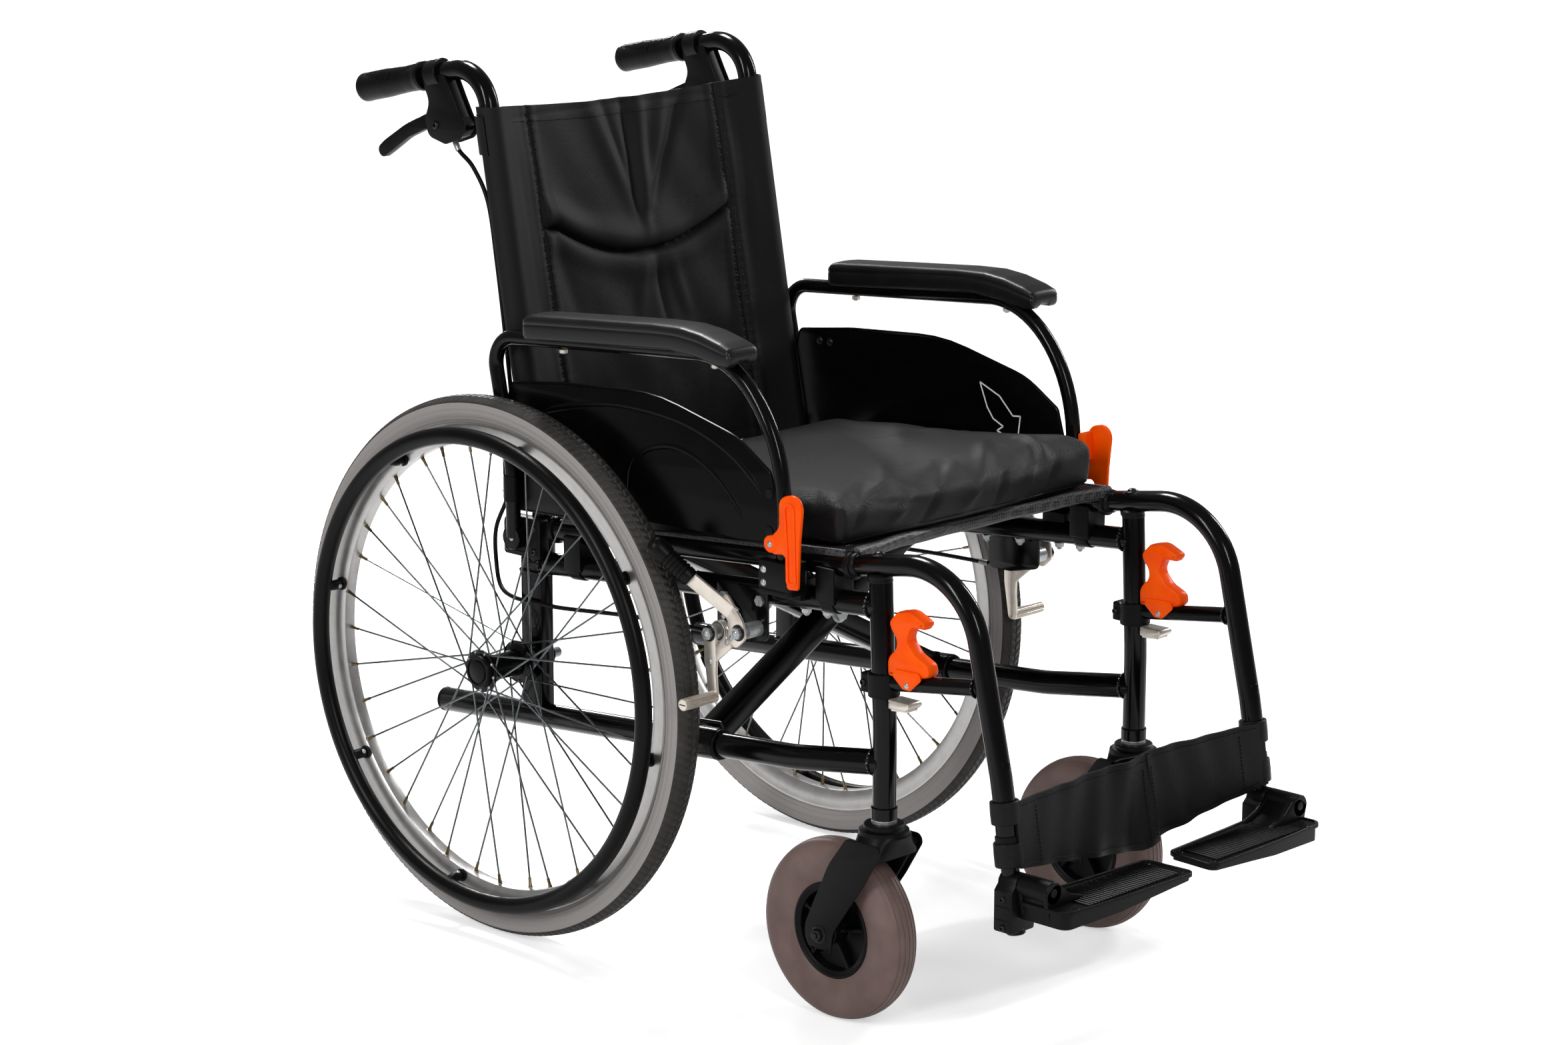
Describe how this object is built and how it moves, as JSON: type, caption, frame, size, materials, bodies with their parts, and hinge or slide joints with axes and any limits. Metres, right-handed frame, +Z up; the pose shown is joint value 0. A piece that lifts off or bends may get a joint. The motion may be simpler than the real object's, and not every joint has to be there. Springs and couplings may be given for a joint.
{
  "type": "folding wheelchair",
  "caption": "Self-propelled folding wheelchair with cross brace, sling seat and back, flip-back armrests, swing-away footrests, castors, spoked wheels, wheel locks and attendant brakes.",
  "frame": {"origin": "on the floor under the middle of the chair, midway between the footplates' front edge and the rear tyres", "axes": "+X towards the sitter's left, +Y towards the push handles, +Z up"},
  "size_m": [0.6068, 1.0764, 0.9597],
  "materials": {
    "black_powder_coat": "gloss powder coat",
    "black_moulded_plastic": "satin moulded",
    "black_rubber": "matt",
    "grey_tyre_rubber": "matt",
    "taupe_castor_rubber": "satin",
    "silver_rim": "painted silver",
    "zinc_plate": "zinc plated",
    "nickel_plate": "nickel plated",
    "orange_moulded_plastic": "satin moulded",
    "black_pad_skin": "self-skinned foam",
    "black_seat_cloth": "woven",
    "black_webbing": "woven webbing"
  },
  "bodies": {
    "right_frame": {"right_side_frame": "black_powder_coat", "right_back_cane": "black_powder_coat", "right_push_grip": "black_rubber", "right_lever_clamp": "black_moulded_plastic", "right_brake_cable": "black_rubber", "right_rear_axle": "zinc_plate", "right_wheel_lock_bracket": "black_powder_coat", "back_upholstery": "black_seat_cloth"},
    "right_armrest": {"right_armrest_tube": "black_powder_coat", "right_armrest_pad": "black_pad_skin", "right_side_panel": "black_moulded_plastic"},
    "right_arm_latch": {"right_armrest_latch": "orange_moulded_plastic"},
    "right_wheel": {"right_rear_tyre": "grey_tyre_rubber", "right_rear_rim": "silver_rim", "right_rear_hub": "zinc_plate", "right_hand_rim": "black_rubber"},
    "right_caster_fork": {"right_castor_fork": "black_moulded_plastic"},
    "right_caster_wheel": {"right_castor_tyre": "taupe_castor_rubber", "right_castor_core": "black_moulded_plastic"},
    "right_hanger": {"right_footrest_hanger": "black_powder_coat", "right_calf_strap": "black_webbing"},
    "right_hanger_hook": {"right_hanger_latch": "orange_moulded_plastic"},
    "right_footrest": {"right_footrest_tube": "black_powder_coat"},
    "right_footplate_flap": {"right_footplate": "black_moulded_plastic"},
    "right_lock_lever": {"right_wheel_lock_lever": "nickel_plate"},
    "right_lock_shoe": {"right_wheel_lock_shoe": "nickel_plate"},
    "right_hand_lever": {"right_brake_lever": "black_moulded_plastic"},
    "left_frame": {"left_side_frame": "black_powder_coat", "left_back_cane": "black_powder_coat", "left_push_grip": "black_rubber", "left_lever_clamp": "black_moulded_plastic", "left_brake_cable": "black_rubber", "left_rear_axle": "zinc_plate", "left_wheel_lock_bracket": "black_powder_coat"},
    "left_armrest": {"left_armrest_tube": "black_powder_coat", "left_armrest_pad": "black_pad_skin", "left_side_panel": "black_moulded_plastic"},
    "left_arm_latch": {"left_armrest_latch": "orange_moulded_plastic"},
    "left_wheel": {"left_rear_tyre": "grey_tyre_rubber", "left_rear_rim": "silver_rim", "left_rear_hub": "zinc_plate", "left_hand_rim": "black_rubber"},
    "left_caster_fork": {"left_castor_fork": "black_moulded_plastic"},
    "left_caster_wheel": {"left_castor_tyre": "taupe_castor_rubber", "left_castor_core": "black_moulded_plastic"},
    "left_hanger": {"left_footrest_hanger": "black_powder_coat", "left_calf_strap": "black_webbing"},
    "left_hanger_hook": {"left_hanger_latch": "orange_moulded_plastic"},
    "left_footrest": {"left_footrest_tube": "black_powder_coat"},
    "left_footplate_flap": {"left_footplate": "black_moulded_plastic"},
    "left_lock_lever": {"left_wheel_lock_lever": "nickel_plate"},
    "left_lock_shoe": {"left_wheel_lock_shoe": "nickel_plate"},
    "left_hand_lever": {"left_brake_lever": "black_moulded_plastic"},
    "brace_front": {"brace_b": "black_powder_coat", "brace_pivot_bolt": "zinc_plate", "seat_sling": "black_seat_cloth", "seat_cushion": "black_seat_cloth"},
    "brace_rear": {"brace_a": "black_powder_coat"}
  },
  "joints": [
    {"name": "fold", "type": "hinge", "parent": "right_frame", "child": "brace_front", "pos_m": [-0.2045, -0.0131, 0.25768], "axis": [0, -0.9969, 0.0785], "range_deg": [0, 42], "deforming": ["seat_sling", "seat_cushion", "back_upholstery", "right_calf_strap", "left_calf_strap"]},
    {"name": "brace_cross", "type": "hinge", "parent": "brace_front", "child": "brace_rear", "pos_m": [0, -0.00471, 0.36422], "axis": [0, -0.9969, 0.0785], "range_deg": [-84, 0]},
    {"name": "left_frame_carry", "type": "hinge", "parent": "brace_rear", "child": "left_frame", "pos_m": [0.2045, -0.0131, 0.25768], "axis": [0, -0.9969, 0.0785], "range_deg": [0, 42]},
    {"name": "right_armrest_flip", "type": "hinge", "parent": "right_frame", "child": "right_armrest", "pos_m": [-0.2325, 0.2384, 0.445], "axis": [1, 0, 0], "range_deg": [-72, 0]},
    {"name": "right_arm_latch_turn", "type": "hinge", "parent": "right_armrest", "child": "right_arm_latch", "pos_m": [-0.2325, -0.1706, 0.50803], "axis": [-1, 0, 0], "range_deg": [-25, 0], "stiffness_Nm_per_rad": 0.3},
    {"name": "right_wheel_roll", "type": "hinge", "parent": "right_frame", "child": "right_wheel", "pos_m": [-0.2623, 0.2344, 0.30384], "axis": [1, 0, 0], "continuous": true},
    {"name": "right_caster_swivel", "type": "hinge", "parent": "right_frame", "child": "right_caster_fork", "pos_m": [-0.2045, -0.2891, 0.21732], "axis": [0, 0, 1], "continuous": true},
    {"name": "right_caster_roll", "type": "hinge", "parent": "right_caster_fork", "child": "right_caster_wheel", "pos_m": [-0.2045, -0.2285, 0.09706], "axis": [1, 0, 0], "continuous": true},
    {"name": "right_hanger_swing", "type": "hinge", "parent": "right_frame", "child": "right_hanger", "pos_m": [-0.2045, -0.2819, 0.4822], "axis": [0, 0.0473, 0.9989], "range_deg": [-95, 0], "deforming": ["right_calf_strap"]},
    {"name": "right_hanger_hook_turn", "type": "hinge", "parent": "right_hanger", "child": "right_hanger_hook", "pos_m": [-0.2045, -0.3278, 0.37989], "axis": [-1, 0, 0], "range_deg": [-18, 0], "stiffness_Nm_per_rad": 0.3},
    {"name": "right_footrest_height", "type": "slide", "parent": "right_hanger", "child": "right_footrest", "axis": [0, 0.134, 0.991], "range_m": [-0.05, 0]},
    {"name": "right_footplate_flip", "type": "hinge", "parent": "right_footrest", "child": "right_footplate_flap", "pos_m": [-0.2045, -0.47724, 0.2005], "axis": [0, -1, 0], "range_deg": [0, 94.5]},
    {"name": "right_lock_lever_turn", "type": "hinge", "parent": "right_frame", "child": "right_lock_lever", "pos_m": [-0.248, -0.12365, 0.405], "axis": [-1, 0, 0], "range_deg": [-50, 0]},
    {"name": "right_lock_shoe_turn", "type": "hinge", "parent": "right_frame", "child": "right_lock_shoe", "pos_m": [-0.2425, -0.07565, 0.395], "axis": [-1, 0, 0], "range_deg": [-3.3, 0]},
    {"name": "right_hand_lever_squeeze", "type": "hinge", "parent": "right_frame", "child": "right_hand_lever", "pos_m": [-0.2022, 0.37835, 0.886], "axis": [1, 0, 0], "range_deg": [0, 20], "stiffness_Nm_per_rad": 0.8, "springref_deg": -14.32},
    {"name": "left_armrest_flip", "type": "hinge", "parent": "left_frame", "child": "left_armrest", "pos_m": [0.2325, 0.2384, 0.445], "axis": [1, 0, 0], "range_deg": [-72, 0]},
    {"name": "left_arm_latch_turn", "type": "hinge", "parent": "left_armrest", "child": "left_arm_latch", "pos_m": [0.2325, -0.1706, 0.50803], "axis": [-1, 0, 0], "range_deg": [-25, 0], "stiffness_Nm_per_rad": 0.3},
    {"name": "left_wheel_roll", "type": "hinge", "parent": "left_frame", "child": "left_wheel", "pos_m": [0.2623, 0.2344, 0.30384], "axis": [1, 0, 0], "continuous": true},
    {"name": "left_caster_swivel", "type": "hinge", "parent": "left_frame", "child": "left_caster_fork", "pos_m": [0.2045, -0.2891, 0.21732], "axis": [0, 0, 1], "continuous": true},
    {"name": "left_caster_roll", "type": "hinge", "parent": "left_caster_fork", "child": "left_caster_wheel", "pos_m": [0.2045, -0.2285, 0.09706], "axis": [1, 0, 0], "continuous": true},
    {"name": "left_hanger_swing", "type": "hinge", "parent": "left_frame", "child": "left_hanger", "pos_m": [0.2045, -0.2819, 0.4822], "axis": [0, -0.0473, -0.9989], "range_deg": [-95, 0], "deforming": ["left_calf_strap"]},
    {"name": "left_hanger_hook_turn", "type": "hinge", "parent": "left_hanger", "child": "left_hanger_hook", "pos_m": [0.2045, -0.3278, 0.37989], "axis": [-1, 0, 0], "range_deg": [-18, 0], "stiffness_Nm_per_rad": 0.3},
    {"name": "left_footrest_height", "type": "slide", "parent": "left_hanger", "child": "left_footrest", "axis": [0, 0.134, 0.991], "range_m": [-0.05, 0]},
    {"name": "left_footplate_flip", "type": "hinge", "parent": "left_footrest", "child": "left_footplate_flap", "pos_m": [0.2045, -0.47724, 0.2005], "axis": [0, 1, 0], "range_deg": [0, 94.5]},
    {"name": "left_lock_lever_turn", "type": "hinge", "parent": "left_frame", "child": "left_lock_lever", "pos_m": [0.248, -0.12365, 0.405], "axis": [-1, 0, 0], "range_deg": [-50, 0]},
    {"name": "left_lock_shoe_turn", "type": "hinge", "parent": "left_frame", "child": "left_lock_shoe", "pos_m": [0.2425, -0.07565, 0.395], "axis": [-1, 0, 0], "range_deg": [-3.3, 0]},
    {"name": "left_hand_lever_squeeze", "type": "hinge", "parent": "left_frame", "child": "left_hand_lever", "pos_m": [0.2022, 0.37835, 0.886], "axis": [1, 0, 0], "range_deg": [0, 20], "stiffness_Nm_per_rad": 0.8, "springref_deg": -14.32}
  ],
  "couplings": [
    {"joint": "brace_cross", "follows": "fold", "ratio": -2},
    {"joint": "left_frame_carry", "follows": "fold", "ratio": 1},
    {"joint": "right_footplate_flip", "follows": "fold", "ratio": 2.25},
    {"joint": "right_lock_shoe_turn", "follows": "right_lock_lever_turn", "ratio": 0.066},
    {"joint": "left_footplate_flip", "follows": "fold", "ratio": 2.25},
    {"joint": "left_lock_shoe_turn", "follows": "left_lock_lever_turn", "ratio": 0.066}
  ]
}
